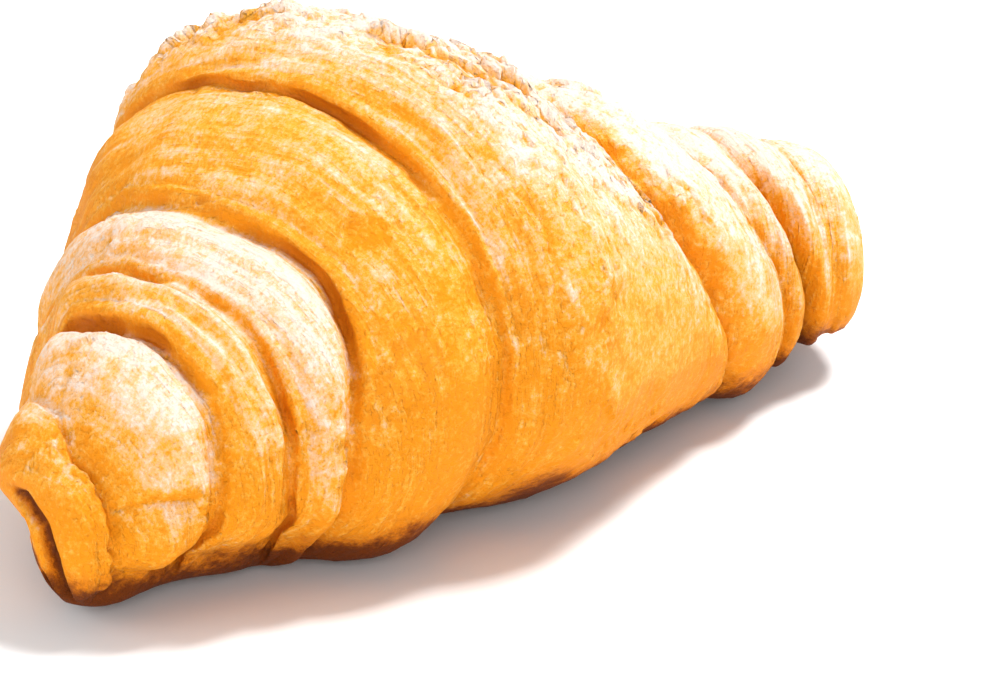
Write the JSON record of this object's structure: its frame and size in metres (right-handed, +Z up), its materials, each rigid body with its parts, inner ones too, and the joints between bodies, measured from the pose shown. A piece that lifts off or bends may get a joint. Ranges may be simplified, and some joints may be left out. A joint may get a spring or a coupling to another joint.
{
  "type": "croissant",
  "caption": "Baked crescent roll of rolled-up layered dough, high in the middle and stepping down, edge by edge, to two blunt tips.",
  "frame": {"origin": "middle of the length and width, on the surface that the croissant lies on", "axes": "+X from one tip to the other, +Z up, the two tips bend toward -Y"},
  "size_m": [0.1314, 0.075, 0.0556],
  "materials": {
    "crust": "egg-washed golden crust, satin, browner on the layer edges and the base"
  },
  "bodies": {
    "root": {"croissant": "crust"}
  },
  "joints": []
}
